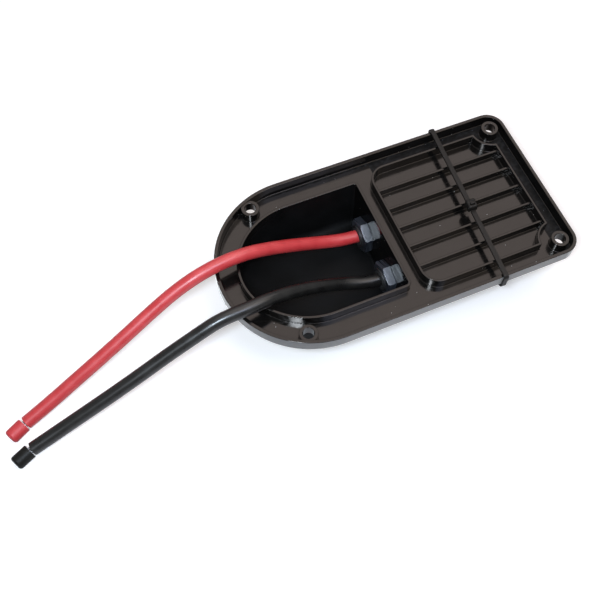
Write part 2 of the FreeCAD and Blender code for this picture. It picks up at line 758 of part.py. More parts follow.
def makeCut(colour, route, way):
    # The short length of insulation pushed along the bared conductor at the cut end.
    last = Vector(*route[-1])
    along = (last - Vector(*route[-2])).normalize()
    way = Vector(*way).normalize()
    coreR = size("coreDiameter") / 2
    sleeveR = size("sleeveDiameter") / 2
    tilt = way.getAngle(along)
    coreStart = last + along * (coreR * math.tan(tilt) + size("coreClear"))
    sleeveStart = last + along * size("endGap")
    sleeveStart = sleeveStart + way * (sleeveR * math.tan(tilt) / 2)
    reach = (sleeveStart - coreStart).dot(way)
    sleeveStart = coreStart + way * reach
    core = doc.addObject("Part::Cylinder", colour + "_core")
    core.Label = colour + "_core"
    core.setExpression("Radius", "Sizes.coreDiameter / 2")
    core.Height = reach + size("sleeveLength")
    core.Placement = Placement(coreStart, Rotation(Vector(0, 0, 1), way))
    blank = doc.addObject("Part::Cylinder", colour + "SleeveBlank")
    blank.setExpression("Radius", "Sizes.sleeveDiameter / 2")
    blank.setExpression("Height", "Sizes.sleeveLength")
    doc.recompute()
    rims = [i + 1 for i, edge in enumerate(blank.Shape.Edges)
            if edge.Curve.TypeId == "Part::GeomCircle"]
    outer = doc.addObject("Part::Fillet", colour + "SleeveOuter")
    outer.Base = blank
    outer.Edges = [(i, size("sleeveRound"), size("sleeveRound")) for i in rims]
    bore = doc.addObject("Part::Cylinder", colour + "SleeveBore")
    bore.setExpression("Radius", "Sizes.coreDiameter / 2 + Sizes.coreClear")
    bore.setExpression("Height", "Sizes.sleeveLength")
    sleeve = doc.addObject("Part::Cut", colour + "_end_sleeve")
    sleeve.Label = colour + "_end_sleeve"
    sleeve.Base = outer
    sleeve.Tool = bore
    sleeve.Placement = Placement(sleeveStart, Rotation(Vector(0, 0, 1), way))
    pieces.append(core)
    pieces.append(sleeve)


makeCable("red_cable", 1, redRoute)
makeCable("black_cable", -1, blackRoute)
makeCut("red", redRoute, redSleeveWay)
makeCut("black", blackRoute, blackSleeveWay)


def beltLoop(rounds, grow):
    # Outer tangents round a row of circles, each (y, z, radius), taken anticlockwise.
    lines = []
    count = len(rounds)
    for i in range(count):
        y0, z0, r0 = rounds[i]
        y1, z1, r1 = rounds[(i + 1) % count]
        r0 += grow
        r1 += grow
        way = math.atan2(z1 - z0, y1 - y0)
        gap = math.hypot(y1 - y0, z1 - z0)
        normal = way - math.pi / 2 + math.asin((r1 - r0) / gap) * -1
        start = (y0 + r0 * math.cos(normal), z0 + r0 * math.sin(normal))
        end = (y1 + r1 * math.cos(normal), z1 + r1 * math.sin(normal))
        lines.append((start, end, normal))
    loop = []
    for i in range(count):
        start, end, normal = lines[i]
        following = lines[(i + 1) % count]
        y, z, r = rounds[(i + 1) % count]
        r += grow
        sweep = (following[2] - normal) % (2 * math.pi)
        middle = normal + sweep / 2
        loop.append((start, end))
        loop.append((end, (y + r * math.cos(middle), z + r * math.sin(middle)),
                     following[0]))
    return loop


# The tie goes over the back, down both sides and round the connectors' mating ends.
tie = makeBody("cable_tie")
skew = math.radians(size("tieSkew"))
clear = size("tieClear")
edgeR = size("tieEdge")
sideY = (halfWidth + size("tieWidth") / 2 * math.sin(skew)) / math.cos(skew) + clear
front = size("frontEdge")
rounds = [
    (sideY - edgeR, clear - edgeR, edgeR),
    (-sideY + edgeR, clear - edgeR, edgeR),
    (-sideY + front, plateFront + front - clear, front),
    (-axisHalf, axisZ, noseR + clear * 2),
    (axisHalf, axisZ, size("shroudOuter") / 2 + clear * 2),
    (sideY - front, plateFront + front - clear, front),
]
band = makeSketch(tie, "BandOutline", "YZ_Plane", -size("tieWidth") / 2)
addLoop(band, beltLoop(rounds, 0.0))
addLoop(band, beltLoop(rounds, size("tieThick")))
makePad(tie, "Band", band, "Sizes.tieWidth")
head = makeSketch(tie, "HeadOutline", "XY_Plane", clear)
headY = -size("tieHeadOffset")
addRectangle(head, (-size("tieHeadWidth") / 2, headY - size("tieHeadLength") / 2),
             (size("tieHeadWidth") / 2, headY + size("tieHeadLength") / 2))
makePad(tie, "Head", head, "Sizes.tieHeadHeight")
tail = makeSketch(tie, "TailOutline", "XY_Plane", clear)
addRectangle(tail, (-size("tieWidth") / 2, headY - size("tieThick")),
             (size("tieWidth") / 2, headY))
makePad(tie, "Tail", tail, "Sizes.tieHeadHeight + Sizes.tieTail")
tie.Placement = Placement(Vector(shroudEnd - size("tieEndMargin"), 0, 0),
                          Rotation(Vector(0, 0, 1), -size("tieSkew")))
pieces.append(tie)
doc.recompute()

for item in doc.Objects:
    if "Invalid" in item.State or "Error" in item.State:
        raise ValueError("%s failed: %s" % (item.Name, item.State))
for piece in pieces:
    if piece.Shape.isNull() or not piece.Shape.isValid():
        raise ValueError("%s has no valid shape" % piece.Label)

os.makedirs("parts", exist_ok=True)
for piece in pieces:
    piece.Shape.exportStep("parts/%s.step" % piece.Label)
    box = piece.Shape.BoundBox
    print("%-18s solids %d, volume %.1f, x %.1f..%.1f, y %.1f..%.1f, z %.1f..%.1f"
          % (piece.Label, len(piece.Shape.Solids), piece.Shape.Volume, box.XMin, box.XMax,
             box.YMin, box.YMax, box.ZMin, box.ZMax))
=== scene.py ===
import bpy
import math
from mathutils import Euler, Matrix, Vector


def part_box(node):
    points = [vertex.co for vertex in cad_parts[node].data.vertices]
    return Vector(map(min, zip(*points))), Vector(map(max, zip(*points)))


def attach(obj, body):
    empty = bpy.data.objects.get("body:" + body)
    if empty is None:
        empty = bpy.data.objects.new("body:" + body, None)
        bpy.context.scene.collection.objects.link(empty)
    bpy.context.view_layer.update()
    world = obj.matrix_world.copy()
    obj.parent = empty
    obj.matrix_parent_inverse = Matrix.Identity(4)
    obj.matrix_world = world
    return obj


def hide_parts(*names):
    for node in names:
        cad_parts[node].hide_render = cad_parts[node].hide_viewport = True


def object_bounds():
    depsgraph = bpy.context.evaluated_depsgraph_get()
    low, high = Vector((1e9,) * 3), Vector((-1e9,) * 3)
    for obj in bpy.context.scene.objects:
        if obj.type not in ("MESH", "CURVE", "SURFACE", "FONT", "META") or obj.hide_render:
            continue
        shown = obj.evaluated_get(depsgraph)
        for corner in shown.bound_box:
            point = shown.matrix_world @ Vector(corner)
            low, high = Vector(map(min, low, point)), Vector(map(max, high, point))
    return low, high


# Cable entry plate seen from its ribbed back, lying on its hood, with two short cable
# tails that come out of the hood over the rim. The settings of the pieces are in millimetres
# and degrees, those of the camera's place and the stage in metres.
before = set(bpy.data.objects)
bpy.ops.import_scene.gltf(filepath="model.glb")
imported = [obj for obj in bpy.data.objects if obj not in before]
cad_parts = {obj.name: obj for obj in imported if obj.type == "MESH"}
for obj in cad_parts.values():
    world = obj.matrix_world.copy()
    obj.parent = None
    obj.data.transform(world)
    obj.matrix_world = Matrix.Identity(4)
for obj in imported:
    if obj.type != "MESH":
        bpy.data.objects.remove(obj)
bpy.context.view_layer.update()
mm = 0.001
print("frame loaded:", len(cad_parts), "nodes")


# Small tools shared by all pieces

meshSettings = {
    "merge": 0.002,
    "seam": 0.001,
    "flatAngle": 0.3,
    "smoothMore": 8,
    "levelNormal": 0.99,
    "uprightNormal": 0.9,
    "slantNormal": 0.5,
}


def selectOnly(*items):
    for item in bpy.context.selected_objects:
        item.select_set(False)
    for item in items:
        item.select_set(True)
    bpy.context.view_layer.objects.active = items[0]


def settle(piece):
    # Puts a piece's place into its mesh and leaves the object at the origin.
    selectOnly(piece)
    bpy.ops.object.transform_apply(location=True, rotation=True, scale=True)


def applyModifier(piece, kind, name, **values):
    modifier = piece.modifiers.new(name, kind)
    for key, value in values.items():
        setattr(modifier, key, value)
    selectOnly(piece)
    bpy.ops.object.modifier_apply(modifier=modifier.name)


def placeAlong(piece, base, way):
    # Turns a piece that was modelled upright at the origin to a direction and moves it there.
    piece.rotation_euler = way.to_track_quat("Z", "Y").to_euler()
    piece.location = base
    settle(piece)


def smoothFaces(piece, angle):
    selectOnly(piece)
    bpy.ops.object.shade_smooth_by_angle(angle=math.radians(angle))


def looksUp(face):
    return face.normal.z > meshSettings["levelNormal"]


def pickFaces(piece, test):
    # Goes into edit mode with only those faces selected that pass the test.
    selectOnly(piece)
    bpy.ops.object.mode_set(mode="EDIT")
    bpy.ops.mesh.select_mode(type="FACE")
    bpy.ops.mesh.select_all(action="DESELECT")
    bpy.ops.object.mode_set(mode="OBJECT")
    for face in piece.data.polygons:
        face.select = test(face)
    bpy.ops.object.mode_set(mode="EDIT")


def softenEdges(piece, width, segments, angle):
    # Rounds every sharp edge a little, as a mould or a cutter leaves it.
    applyModifier(piece, "BEVEL", "EdgeRound", width=width, segments=segments,
                  limit_method="ANGLE", angle_limit=math.radians(angle),
                  use_clamp_overlap=False, harden_normals=False)
    smoothFaces(piece, angle + meshSettings["smoothMore"])
    applyModifier(piece, "WEIGHTED_NORMAL", "FaceWeight", keep_sharp=True)


def finishedCopy(node, name, edge, segments, angle, prepare=None):
    # A copy of a CAD node with its triangles merged, its flats cleaned and its edges soft.
    # prepare, if given, works on the copy before its edges are rounded.
    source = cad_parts[node]
    piece = source.copy()
    piece.data = source.data.copy()
    piece.name = name
    piece.data.name = name
    piece.parent = None
    bpy.context.scene.collection.objects.link(piece)
    selectOnly(piece)
    bpy.ops.object.mode_set(mode="EDIT")
    bpy.ops.mesh.select_all(action="SELECT")
    bpy.ops.mesh.remove_doubles(threshold=meshSettings["merge"] * mm)
    bpy.ops.mesh.dissolve_limited(angle_limit=math.radians(meshSettings["flatAngle"]))
    bpy.ops.object.mode_set(mode="OBJECT")
    if prepare:
        prepare(piece)
    softenEdges(piece, edge, segments, angle)
    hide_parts(node)
    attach(piece, "root")
    return piece


def finish(piece, material):
    piece.data.materials.clear()
    piece.data.materials.append(material)


def middle(node):
    low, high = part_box(node)
    return (Vector(low) + Vector(high)) / 2


# Materials

def addNode(tree, kind, values=None, **settings):
    node = tree.nodes.new(kind)
    for key, value in settings.items():
        setattr(node, key, value)
    for key, value in (values or {}).items():
        node.inputs[key].default_value = value
    return node


def newMaterial(name, color, roughness, **sockets):
    material = bpy.data.materials.new(name)
    material.use_nodes = True
    shader = material.node_tree.nodes["Principled BSDF"]
    shader.inputs["Base Color"].default_value = (*color, 1)
    shader.inputs["Roughness"].default_value = roughness
    for key, value in sockets.items():
        shader.inputs[key.replace("_", " ")].default_value = value
    return material, material.node_tree, shader


def objectNoise(tree, scale, detail, stretch=(1, 1, 1), turn=(0, 0, 0)):
    place = addNode(tree, "ShaderNodeTexCoord")
    mapping = addNode(tree, "ShaderNodeMapping", {"Scale": stretch, "Rotation": turn})
    noise = addNode(tree, "ShaderNodeTexNoise", {"Scale": scale, "Detail": detail})
    tree.links.new(place.outputs["Object"], mapping.inputs["Vector"])
    tree.links.new(mapping.outputs["Vector"], noise.inputs["Vector"])
    return noise.outputs["Fac"]


def remap(tree, value, low, high, start=0.3, end=0.7):
    # Maps start to end onto low to high. Most of a noise lies between 0.3 and 0.7.
    node = addNode(tree, "ShaderNodeMapRange",
                   {"From Min": start, "From Max": end, "To Min": low, "To Max": high})
    tree.links.new(value, node.inputs["Value"])
    return node.outputs["Result"]


def calculate(tree, operation, first, second):
    # first and second are each a number or an output socket.
    node = addNode(tree, "ShaderNodeMath", operation=operation)
    for index, value in enumerate((first, second)):
        if isinstance(value, (int, float)):
            node.inputs[index].default_value = value
        else:
            tree.links.new(value, node.inputs[index])
    return node.outputs["Value"]


def blendColor(tree, amount, first, second):
    # Inputs 6 and 7 and output 2 of a mix node are its colours.
    node = addNode(tree, "ShaderNodeMix", data_type="RGBA")
    tree.links.new(amount, node.inputs["Factor"])
    for socket, value in ((node.inputs[6], first), (node.inputs[7], second)):
        if isinstance(value, tuple):
            socket.default_value = (*value, 1)
        else:
            tree.links.new(value, socket)
    return node.outputs[2]


def addBump(tree, shader, height, distance, strength, under=None):
    bump = addNode(tree, "ShaderNodeBump", {"Strength": strength, "Distance": distance})
    tree.links.new(height, bump.inputs["Height"])
    if under:
        tree.links.new(under, bump.inputs["Normal"])
    tree.links.new(bump.outputs["Normal"], shader.inputs["Normal"])
    return bump.outputs["Normal"]


def specksOfDustAndGlints(tree, cells, radius, share):
    # Small round specks in a share of the cells of a cell pattern.
    place = addNode(tree, "ShaderNodeTexCoord")
    cell = addNode(tree, "ShaderNodeTexVoronoi", {"Scale": cells, "Randomness": 1.0})
    tree.links.new(place.outputs["Object"], cell.inputs["Vector"])
    near = calculate(tree, "LESS_THAN", cell.outputs["Distance"], radius)
    split = addNode(tree, "ShaderNodeSeparateColor")
    tree.links.new(cell.outputs["Color"], split.inputs["Color"])
    chosen = calculate(tree, "LESS_THAN", split.outputs["Red"], share)
    return calculate(tree, "MULTIPLY", near, chosen)


def makePlatePlastic(name, level):
    # Gloss moulding with a slight wave, rubbed patches and a little dust.
    material, tree, shader = newMaterial(name, (0.004, 0.0037, 0.0034), 0.12, IOR=1.52,
                                         Specular_IOR_Level=level,
                                         Specular_Tint=(1, 0.92, 0.86, 1))
    wave = objectNoise(tree, scale=95, detail=2.0)
    fine = objectNoise(tree, scale=2600, detail=3.0)
    rub = objectNoise(tree, scale=120, detail=5.0, stretch=(1.0, 9.0, 1.0), turn=(0, 0, 0.5))
    specks = specksOfDustAndGlints(tree, cells=330, radius=0.07, share=0.22)
    soft = remap(tree, rub, 0.10, 0.24, start=0.42, end=0.72)
    rough = calculate(tree, "MAXIMUM", soft, calculate(tree, "MULTIPLY", specks, 0.7))
    tree.links.new(rough, shader.inputs["Roughness"])
    tone = blendColor(tree, remap(tree, wave, 0, 1), (0.003, 0.0028, 0.0026),
                      (0.006, 0.0054, 0.005))
    dusty = blendColor(tree, specks, tone, (0.22, 0.21, 0.20))
    tree.links.new(dusty, shader.inputs["Base Color"])
    under = addBump(tree, shader, wave, distance=0.05 * mm, strength=0.5)
    addBump(tree, shader, fine, distance=0.004 * mm, strength=0.5, under=under)
    return material


def makeMattAndPocketShade():
    # Matt with a fine grain and a low reflection, for the pocket, the hood and the plate's
    # underside; in the pocket this darkening is painted shade.
    material, tree, shader = newMaterial("hoodMattPocketShade", (0.004, 0.004, 0.004), 0.55,
                                         Specular_IOR_Level=0.11)
    grain = objectNoise(tree, scale=2300, detail=4.0)
    patch = objectNoise(tree, scale=90, detail=4.0)
    tree.links.new(remap(tree, patch, 0.5, 0.68), shader.inputs["Roughness"])
    tone = blendColor(tree, remap(tree, patch, 0, 1), (0.003, 0.003, 0.003),
                      (0.005, 0.005, 0.0051))
    tree.links.new(tone, shader.inputs["Base Color"])
    addBump(tree, shader, grain, distance=0.03 * mm, strength=0.5)
    return material


def makeConnectorPlastic():
    # Even satin with a fine grain.
    material, tree, shader = newMaterial("connectorSatinBlack", (0.016, 0.016, 0.017), 0.42)
    grain = objectNoise(tree, scale=3200, detail=4.0)
    patch = objectNoise(tree, scale=160, detail=3.0)
    tree.links.new(remap(tree, patch, 0.36, 0.52), shader.inputs["Roughness"])
    addBump(tree, shader, grain, distance=0.03 * mm, strength=0.6)
    return material


def makeNutPlastic():
    # Satin flats with fine drag marks that run round the nut; their bluish paler streaks are
    # partly drag marks and partly a painted sheen.
    material, tree, shader = newMaterial("nutSatinBlack", (0.02, 0.022, 0.028), 0.32,
                                         IOR=1.58, Specular_IOR_Level=0.9)
    dragAndSheen = objectNoise(tree, scale=1500, detail=2.0, stretch=(1.0, 0.05, 0.05))
    grain = objectNoise(tree, scale=2400, detail=3.0)
    # Bluish pale streaks: drag marks and, in part, a painted sheen.
    tone = blendColor(tree, remap(tree, dragAndSheen, 0, 1), (0.008, 0.009, 0.012),
                      (0.05, 0.055, 0.07))
    tree.links.new(tone, shader.inputs["Base Color"])
    tree.links.new(remap(tree, dragAndSheen, 0.24, 0.44), shader.inputs["Roughness"])
    under = addBump(tree, shader, dragAndSheen, distance=0.03 * mm, strength=0.5)
    addBump(tree, shader, grain, distance=0.01 * mm, strength=0.5, under=under)
    return material


def makeGrained(name, color, roughness, noise, rough, bump, **sockets):
    # One even grain that sets both the roughness and the bump.
    material, tree, shader = newMaterial(name, color, roughness, **sockets)
    grain = objectNoise(tree, **noise)
    tree.links.new(remap(tree, grain, *rough), shader.inputs["Roughness"])
    addBump(tree, shader, grain, distance=bump * mm, strength=0.5)
    return material


def makeStrandMetal():
    # Tinned copper, mottled from dark to mid grey.
    material, tree, shader = newMaterial("conductorTinnedStrand", (0.63, 0.60, 0.57), 0.32,
                                         Metallic=1.0)
    grain = objectNoise(tree, scale=1400, detail=3.0)
    tone = blendColor(tree, remap(tree, grain, 0, 1), (0.05, 0.048, 0.045), (0.34, 0.33, 0.32))
    tree.links.new(tone, shader.inputs["Base Color"])
    tree.links.new(remap(tree, grain, 0.25, 0.45), shader.inputs["Roughness"])
    return material


def makeInsulation(name, dark, pale, fleck, roughness, level):
    # Extruded cable insulation: a soft mottle, a fine grain and a few dull flecks.
    material, tree, shader = newMaterial(name, dark, roughness, Specular_IOR_Level=level)
    mottle = objectNoise(tree, scale=170, detail=4.0)
    grain = objectNoise(tree, scale=1900, detail=3.0)
    specks = specksOfDustAndGlints(tree, cells=420, radius=0.09, share=0.16)
    tone = blendColor(tree, remap(tree, mottle, 0, 1), dark, pale)
    tree.links.new(blendColor(tree, specks, tone, fleck), shader.inputs["Base Color"])
    tree.links.new(remap(tree, mottle, roughness - 0.05, roughness + 0.08),
                   shader.inputs["Roughness"])
    under = addBump(tree, shader, mottle, distance=0.02 * mm, strength=0.5)
    addBump(tree, shader, grain, distance=0.004 * mm, strength=0.5, under=under)
    return material


def makeStripPaintedShade():
    # The strips between the ribbed field and the rim: a dull, darker finish that is painted
    # shade, with paler scuffed patches and bluish specks that are painted glints.
    material, tree, shader = newMaterial("stripDullPaintedShade", (0.006, 0.0056, 0.0054), 0.5,
                                         Specular_IOR_Level=0.14)
    rub = objectNoise(tree, scale=420, detail=5.0, stretch=(1.0, 2.5, 1.0), turn=(0, 0, 0.7))
    grain = objectNoise(tree, scale=1700, detail=4.0)
    # The bluish specks are painted glints.
    specks = specksOfDustAndGlints(tree, cells=520, radius=0.10, share=0.3)
    worn = remap(tree, rub, 0, 1, start=0.45, end=0.75)
    tone = blendColor(tree, worn, (0.004, 0.0038, 0.0037), (0.018, 0.018, 0.019))
    tree.links.new(blendColor(tree, specks, tone, (0.10, 0.105, 0.12)),
                   shader.inputs["Base Color"])
    tree.links.new(remap(tree, rub, 0.35, 0.6), shader.inputs["Roughness"])
    under = addBump(tree, shader, rub, distance=0.06 * mm, strength=0.6)
    addBump(tree, shader, grain, distance=0.02 * mm, strength=0.5, under=under)
    return material


def makePaintedSheenSide():
    # The outer side of the plate, finely textured; its base, paler than the plate's, and its
    # sheen are a painted sheen that makes it pale at a low angle.
    material, tree, shader = newMaterial("sidePaintedSheenBlack", (0.05, 0.05, 0.05), 0.5,
                                         Sheen_Weight=0.85, Sheen_Roughness=0.35,
                                         Sheen_Tint=(1, 0.95, 0.88, 1))
    grain = objectNoise(tree, scale=2600, detail=3.0)
    tone = blendColor(tree, remap(tree, grain, 0, 1), (0.04, 0.04, 0.042),
                      (0.07, 0.07, 0.072))
    tree.links.new(tone, shader.inputs["Base Color"])
    addBump(tree, shader, grain, distance=0.02 * mm, strength=0.5)
    return material


def makeCutFaceHighlight(name, color):
    # The cut face of the insulation, painted pale as a highlight on the cut end, with a grain.
    material, tree, shader = newMaterial(name, color, 0.6)
    grain = objectNoise(tree, scale=2200, detail=3.0)
    tone = blendColor(tree, remap(tree, grain, 0, 1), tuple(v * 0.75 for v in color), color)
    tree.links.new(tone, shader.inputs["Base Color"])
    return material


platePlastic = makePlatePlastic("plateGlossBlack", level=0.5)
wallPlastic = makePlatePlastic("wallGlossBlack", level=0.10)
# Paler base and sheen: a painted sheen for the plate's outer side.
paintedSheenSide = makePaintedSheenSide()
# Dull finish that paints the shade on the strips beside the field.
stripPaintedShade = makeStripPaintedShade()
# Cut faces painted pale as a highlight.
cutFaceHighlights = {"red": makeCutFaceHighlight("cutFaceHighlightRed", (0.85, 0.62, 0.64)),
            "black": makeCutFaceHighlight("cutFaceHighlightBlack", (0.30, 0.31, 0.34))}
# Matt finish, painted shade where it lines the pocket.
mattAndPocketShade = makeMattAndPocketShade()
connectorPlastic = makeConnectorPlastic()
nutPlastic = makeNutPlastic()
rubber = makeGrained("sealMattBlack", (0.018, 0.018, 0.018), 0.75,
                     noise={"scale": 1800, "detail": 4.0}, rough=(0.62, 0.85), bump=0.03)
tin = makeGrained("contactTinPlate", (0.72, 0.71, 0.68), 0.25,
                  noise={"scale": 900, "detail": 4.0, "stretch": (1.0, 6.0, 6.0)},
                  rough=(0.18, 0.38), bump=0.006, Metallic=1.0)
strandMetal = makeStrandMetal()
redInsulation = makeInsulation("insulationRed", dark=(0.53, 0.034, 0.038),
                               pale=(0.60, 0.052, 0.055), fleck=(0.75, 0.16, 0.15),
                               roughness=0.37, level=0.85)
blackInsulation = makeInsulation("insulationBlack", dark=(0.006, 0.0057, 0.0055),
                                 pale=(0.012, 0.0115, 0.0105), fleck=(0.05, 0.05, 0.05),
                                 roughness=0.3, level=0.62)
redSleeve = makeInsulation("sleeveRed", dark=(0.50, 0.033, 0.037),
                           pale=(0.57, 0.050, 0.054), fleck=(0.75, 0.16, 0.15),
                           roughness=0.5, level=0.5)
blackSleeve = makeInsulation("sleeveBlack", dark=(0.006, 0.0058, 0.005),
                             pale=(0.014, 0.013, 0.011), fleck=(0.05, 0.05, 0.05),
                             roughness=0.48, level=0.16)
tieNylon = makeGrained("tieBlackNylon", (0.010, 0.0085, 0.0072), 0.42,
                       noise={"scale": 1500, "detail": 3.0}, rough=(0.34, 0.5), bump=0.012,
                       Specular_IOR_Level=0.25)
print("materials ready")


# Camera at the photograph's viewing angle

cameraSettings = {
    "place": (-0.12573, -0.18470, 0.34890),
    "turn": (27.450, -3.095, -24.042),
    "sensor": 36,
    "lens": 52.34,
    "shift": (-0.0708, 0.0008),
    "nearest": 0.01,
}


def placeCamera():
    s = cameraSettings
    data = bpy.data.cameras.new("photoCamera")
    camera = bpy.data.objects.new("photoCamera", data)
    bpy.context.scene.collection.objects.link(camera)
    camera.location = s["place"]
    camera.rotation_euler = Euler([math.radians(v) for v in s["turn"]])
    data.sensor_width = s["sensor"]
    data.lens = s["lens"]
    data.shift_x, data.shift_y = s["shift"]
    data.clip_start = s["nearest"]
    bpy.context.scene.camera = camera


placeCamera()


# Cable tails, whose routes are those of the CAD cables, in millimetres

cableSettings = {
    "diameter": 6.4,
    "start": -0.35,
    "steps": 14,
    "roundness": 9,
    "red": {
        "length": 197.2,
        "route": [
            (-12.0, 13.5, -21.8), (-25.5, 14.9, -18.6), (-37.7, 14.5, -12.3),
            (-50.8, 13.4, -5.2), (-63.9, 11.5, 1.9), (-76.2, 10.1, 4.4),
            (-89.3, 8.2, 4.1), (-102.3, 6.3, -0.1), (-115.2, 3.1, -5.2),
            (-129.3, -1.0, -10.6), (-143.3, -4.7, -16.2), (-157.4, -8.2, -21.8),
            (-170.6, -11.6, -27.0), (-182.8, -15.1, -30.2),
        ],
    },
    "black": {
        "length": 196.1,
        "route": [
            (-12.0, -13.2, -21.8), (-25.5, -10.0, -18.6), (-37.7, -10.1, -12.3),
            (-50.8, -11.6, -5.2), (-63.9, -14.4, 2.1), (-76.2, -16.5, 4.4),
            (-89.3, -16.7, 4.1), (-102.3, -18.4, -0.1), (-115.2, -19.7, -5.2),
            (-129.3, -21.7, -10.6), (-143.3, -23.3, -16.2), (-157.4, -24.7, -21.8),
            (-170.6, -26.0, -27.0), (-183.4, -28.1, -30.2),
        ],
    },
}


def layCable(colour, material):
    # The route starts in the gland of the nut and then follows the CAD's control points.
    s = cableSettings
    gland = middle(colour + "_nut") / mm
    start = (s["start"], gland.y, gland.z)
    curve = bpy.data.curves.new(colour + "CableTail", "CURVE")
    curve.dimensions = "3D"
    curve.resolution_u = s["steps"]
    curve.bevel_depth = 1.0
    curve.bevel_resolution = s["roundness"]
    curve.use_fill_caps = True
    spline = curve.splines.new("NURBS")
    points = [start] + s[colour]["route"]
    spline.points.add(len(points) - 1)
    for place, point in zip(points, spline.points):
        point.co = (*(Vector(place) * mm), 1)
        point.radius = s["diameter"] / 2 * mm
    spline.order_u = 3
    spline.use_endpoint_u = True
    cable = bpy.data.objects.new(colour + "CableTail", curve)
    bpy.context.scene.collection.objects.link(cable)
    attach(cable, "root")
    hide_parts(colour + "_cable")
    finish(cable, material)
    return cable, Vector(start) * mm


# Turned pieces, drawn out of one circle by extruding and scaling

def turnPiece(name, base, way, profile, vertices, smooth):
    # profile lists (distance along way, radius) in millimetres and ends where it starts;
    # way is a unit vector.
    bpy.ops.object.select_all(action="DESELECT")
    first = profile[0]
    bpy.ops.mesh.primitive_circle_add(vertices=vertices, radius=first[1] * mm,
                                      location=(0, 0, first[0] * mm))
    piece = bpy.context.object
    piece.name = name
    piece.data.name = name
    bpy.ops.object.mode_set(mode="EDIT")
    bpy.ops.mesh.select_all(action="SELECT")
    here = first
    for station in profile[1:]:
        bpy.ops.mesh.extrude_region_move(
            TRANSFORM_OT_translate={"value": (0, 0, (station[0] - here[0]) * mm)})
        scale = station[1] / here[1]
        bpy.ops.transform.resize(value=(scale, scale, 1), center_override=(0, 0, 0))
        here = station
    bpy.ops.mesh.select_all(action="SELECT")
    bpy.ops.mesh.remove_doubles(threshold=meshSettings["seam"] * mm)
    bpy.ops.mesh.normals_make_consistent(inside=False)
    bpy.ops.object.mode_set(mode="OBJECT")
    placeAlong(piece, base, way)
    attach(piece, "root")
    smoothFaces(piece, smooth)
    return piece


# Cut ends: the short sleeve of insulation pushed along the bared strands

endSettings = {
    "ways": {"red": (-0.887, -0.462, 0.0), "black": (-0.906, -0.422, 0.0)},
    "sleeveLength": 8.3,
    "sleeveOuter": 3.45,
    "sleeveInner": 1.72,
    "sleeveSides": 48,
    "nearRound": 0.25,
    "farRound": 1.3,
    "roundSteps": 8,
    "sleeveSmooth": 40,
    "coreLength": 9.2,
    "past": 0.15,
    "strand": 0.33,
    "strandSides": 10,
    "strandSmooth": 50,
    "cutEdge": 0.08,
    "rings": ((0.0, 1), (0.66, 6), (1.3, 12)),
    "twist": 0.036,
}


def makeSleeve(colour, base, way, material):
    # The end next to the cable is cut square, its cut face painted with a highlight; the far
    # end is worn round.
    s = endSettings
    length, outer, inner = s["sleeveLength"], s["sleeveOuter"], s["sleeveInner"]
    near, far = s["nearRound"], s["farRound"]
    profile = [(near, inner), (0.0, inner + near), (0.0, outer - near), (near, outer)]
    for step in range(s["roundSteps"]):
        angle = math.radians(90 - 90 / (s["roundSteps"] - 1) * step)
        profile.append((length - far * (1 - math.cos(angle)),
                        outer - far * (1 - math.sin(angle))))
    profile += [(length, inner + near), (length - near, inner), (near, inner)]
    sleeve = turnPiece(colour + "EndSleeve", base, way, profile,
                       vertices=s["sleeveSides"], smooth=s["sleeveSmooth"])
    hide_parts(colour + "_end_sleeve")
    finish(sleeve, material)
    # The cut face gets the painted highlight.
    sleeve.data.materials.append(cutFaceHighlights[colour])
    for face in sleeve.data.polygons:
        if face.normal.dot(way) < -meshSettings["slantNormal"]:
            face.material_index = 1
    return sleeve


def makeStrands(colour, base, way):
    # One strand is modelled, then copied round the bundle with a slight twist.
    s = endSettings
    length = s["coreLength"] + s["past"]
    bpy.ops.object.select_all(action="DESELECT")
    bpy.ops.mesh.primitive_cylinder_add(vertices=s["strandSides"], radius=s["strand"] * mm,
                                        depth=length * mm, location=(0, 0, length / 2 * mm))
    strand = bpy.context.object
    applyModifier(strand, "BEVEL", "CutEdge", width=s["cutEdge"] * mm, segments=1,
                  limit_method="ANGLE")
    bundle = []
    for radius, count in s["rings"]:
        for index in range(count):
            copy = strand.copy()
            copy.data = strand.data.copy()
            bpy.context.scene.collection.objects.link(copy)
            angle = 2 * math.pi * index / count + radius
            copy.location = (radius * mm * math.cos(angle), radius * mm * math.sin(angle), 0)
            lean = s["twist"] * radius
            copy.rotation_euler = (-lean * math.sin(angle), lean * math.cos(angle), 0)
            bundle.append(copy)
    bpy.data.objects.remove(strand)
    selectOnly(*bundle)
    bpy.ops.object.join()
    strands = bpy.context.object
    strands.name = colour + "Strands"
    strands.data.name = strands.name
    settle(strands)
    placeAlong(strands, base, way)
    smoothFaces(strands, s["strandSmooth"])
    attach(strands, "root")
    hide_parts(colour + "_core")
    finish(strands, strandMetal)
    return strands


for colour, insulation, cover in (("red", redInsulation, redSleeve),
                                  ("black", blackInsulation, blackSleeve)):
    cable, exitPoint = layCable(colour, insulation)
    way = Vector(endSettings["ways"][colour]).normalized()
    sleeveBase = middle(colour + "_end_sleeve") - way * endSettings["sleeveLength"] / 2 * mm
    coreBase = middle(colour + "_core") - way * endSettings["coreLength"] / 2 * mm
    sleeve = makeSleeve(colour, sleeveBase, way, cover)
    strands = makeStrands(colour, coreBase, way)
print("cable tails laid")


# Plate, nuts, connectors and seals: finished copies of the CAD nodes

plateSettings = {
    "edge": 0.28,
    "edgeSteps": 3,
    "edgeAngle": 30,
    "floor": -5.9,
    "floorNear": 0.05,
    "fieldLeft": 10.0,
    "fieldRight": 73.6,
    "fieldTop": 34.4,
    "rimFoot": 40.8,
    "pocketCentre": -35.0,
    "pocketMatt": -9.0,
    "underMatt": -7.5,
    "wallNear": 0.3,
    "wallMargin": 8.0,
    "edgeBand": 1.5,
    "rayStart": 0.05,
}


